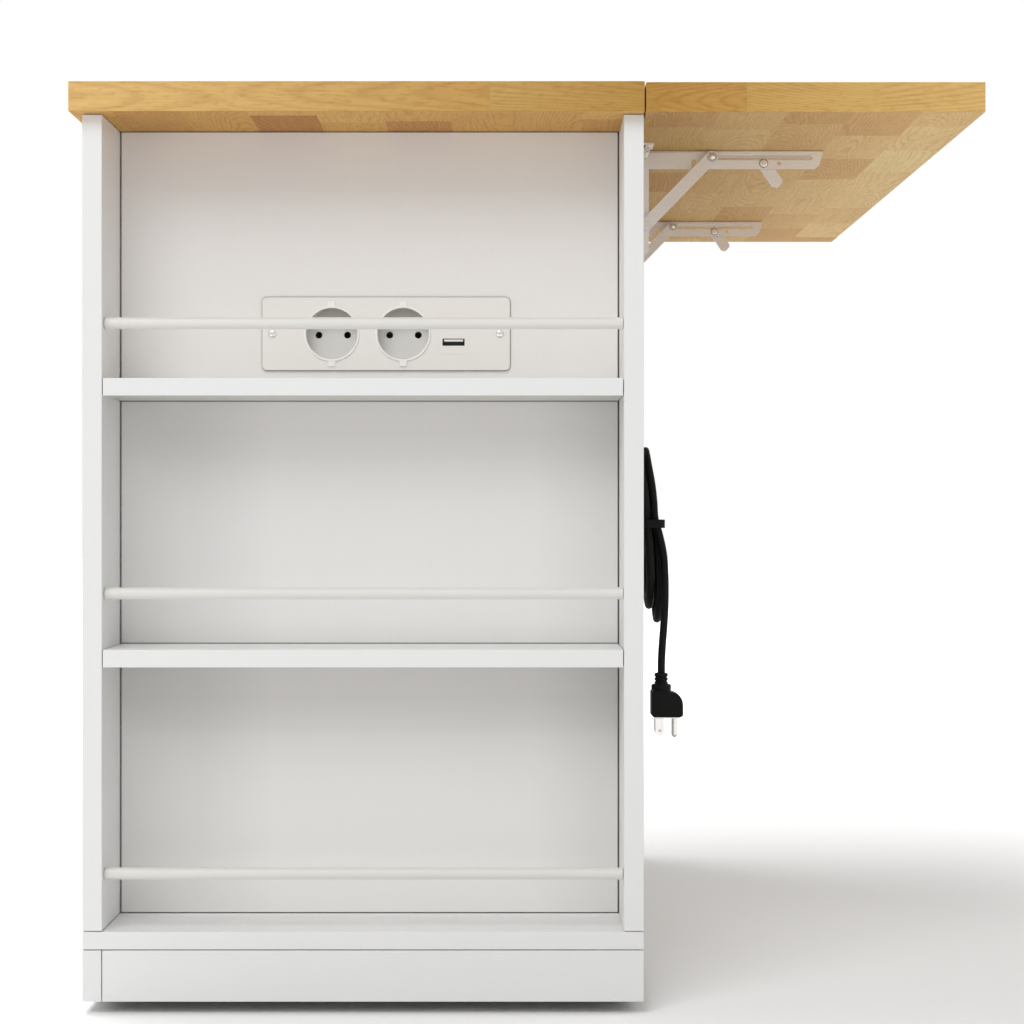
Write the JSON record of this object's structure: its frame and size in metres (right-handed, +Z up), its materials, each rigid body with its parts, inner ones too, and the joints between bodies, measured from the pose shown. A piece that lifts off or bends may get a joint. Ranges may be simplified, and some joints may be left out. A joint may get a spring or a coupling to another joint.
{
  "type": "drop leaf kitchen island",
  "caption": "White painted kitchen island with a wood worktop, a fold-down wood leaf on slotted brackets, railed end shelves, an outlet plate, a drawer and doors.",
  "frame": {"origin": "on the floor, at the middle of the island's box with its leaf raised, the hanging cord left out", "axes": "+X towards the leaf, +Y from the open shelf end to the far end, +Z up"},
  "size_m": [0.9274, 1, 0.927],
  "materials": {
    "white_paint": "satin white paint over board",
    "oiled_wood": "oiled, finger-jointed staves",
    "runner_wood": "bare, planed",
    "bracket_steel": "satin plated sheet steel",
    "rivet_steel": "bright",
    "handle_metal": "brushed",
    "outlet_plastic": "satin off-white",
    "housing_plastic": "matt grey",
    "cord_rubber": "matt black",
    "plug_metal": "bright nickel plate",
    "glide_plastic": "dark grey"
  },
  "bodies": {
    "cabinet": {"worktop": "oiled_wood", "base_board": "white_paint", "kick_near_end": "white_paint", "kick_far_end": "white_paint", "kick_front": "white_paint", "kick_back": "white_paint", "back_panel": "white_paint", "niche_side_panel": "white_paint", "niche_back_panel": "white_paint", "far_end_panel": "white_paint", "front_rail": "white_paint", "cupboard_shelf": "white_paint", "niche_shelf_lower": "white_paint", "niche_shelf_upper": "white_paint", "niche_rail_low": "white_paint", "niche_rail_middle": "white_paint", "niche_rail_high": "white_paint", "outlet_plate": "outlet_plastic", "socket_1": "outlet_plastic", "socket_2": "outlet_plastic", "usb_module": "outlet_plastic", "outlet_housing": "housing_plastic", "bracket_wall_plate_near": "bracket_steel", "bracket_wall_plate_far": "bracket_steel", "leaf_hinge_wall_half_near": "bracket_steel", "leaf_hinge_wall_half_far": "bracket_steel", "drawer_runner_near": "runner_wood", "drawer_runner_far": "runner_wood", "cord_cover": "cord_rubber", "cord_lead": "cord_rubber", "cord_hank": "cord_rubber", "cord_tail": "cord_rubber", "cord_tie": "cord_rubber", "inner_lead": "cord_rubber", "plug_body": "cord_rubber", "plug_pins": "plug_metal", "bracket_fold_rivet_near": "rivet_steel", "bracket_fold_rivet_far": "rivet_steel", "door_pivots_low": "rivet_steel", "door_pivots_high": "rivet_steel", "glide_strip_front": "glide_plastic", "glide_strip_back": "glide_plastic"},
    "leaf": {"drop_leaf": "oiled_wood", "bracket_arm_near": "bracket_steel", "bracket_arm_far": "bracket_steel", "bracket_lever_rivet_near": "rivet_steel", "bracket_lever_rivet_far": "rivet_steel", "leaf_hinge_leaf_half_near": "bracket_steel", "leaf_hinge_leaf_half_far": "bracket_steel"},
    "brace_near": {"bracket_brace_near": "bracket_steel"},
    "brace_far": {"bracket_brace_far": "bracket_steel"},
    "lever_near": {"bracket_lever_near": "bracket_steel"},
    "lever_far": {"bracket_lever_far": "bracket_steel"},
    "drawer": {"drawer_front": "white_paint", "drawer_box": "white_paint", "drawer_handle": "handle_metal"},
    "near_door": {"door_near": "white_paint", "door_handle_near": "handle_metal"},
    "far_door": {"door_far": "white_paint", "door_handle_far": "handle_metal"}
  },
  "joints": [
    {"name": "leaf_fold", "type": "hinge", "parent": "cabinet", "child": "leaf", "pos_m": [0.1393, 0, 0.888], "axis": [0, 1, 0], "range_deg": [0, 90]},
    {"name": "brace_turn_near", "type": "hinge", "parent": "cabinet", "child": "brace_near", "pos_m": [0.1393, -0.28, 0.81211], "axis": [0, 1, 0], "range_deg": [0, 136]},
    {"name": "brace_turn_far", "type": "hinge", "parent": "cabinet", "child": "brace_far", "pos_m": [0.1393, 0.28, 0.81211], "axis": [0, 1, 0], "range_deg": [0, 136]},
    {"name": "lever_turn_near", "type": "hinge", "parent": "leaf", "child": "lever_near", "pos_m": [0.2702, -0.28, 0.8819], "axis": [0, 1, 0], "range_deg": [-63, 0]},
    {"name": "lever_turn_far", "type": "hinge", "parent": "leaf", "child": "lever_far", "pos_m": [0.2702, 0.28, 0.8819], "axis": [0, 1, 0], "range_deg": [-63, 0]},
    {"name": "drawer_slide", "type": "slide", "parent": "cabinet", "child": "drawer", "axis": [-1, 0, 0], "range_m": [0, 0.3]},
    {"name": "near_door_swing", "type": "hinge", "parent": "cabinet", "child": "near_door", "pos_m": [-0.4287, -0.363, 0.402], "axis": [0, 0, 1], "range_deg": [0, 105]},
    {"name": "far_door_swing", "type": "hinge", "parent": "cabinet", "child": "far_door", "pos_m": [-0.4287, 0.459, 0.402], "axis": [0, 0, -1], "range_deg": [0, 105]}
  ],
  "couplings": [
    {"joint": "brace_turn_near", "follows": "leaf_fold", "ratio": 1.5089},
    {"joint": "brace_turn_far", "follows": "leaf_fold", "ratio": 1.5089},
    {"joint": "lever_turn_near", "follows": "leaf_fold", "ratio": -0.68889},
    {"joint": "lever_turn_far", "follows": "leaf_fold", "ratio": -0.68889}
  ]
}
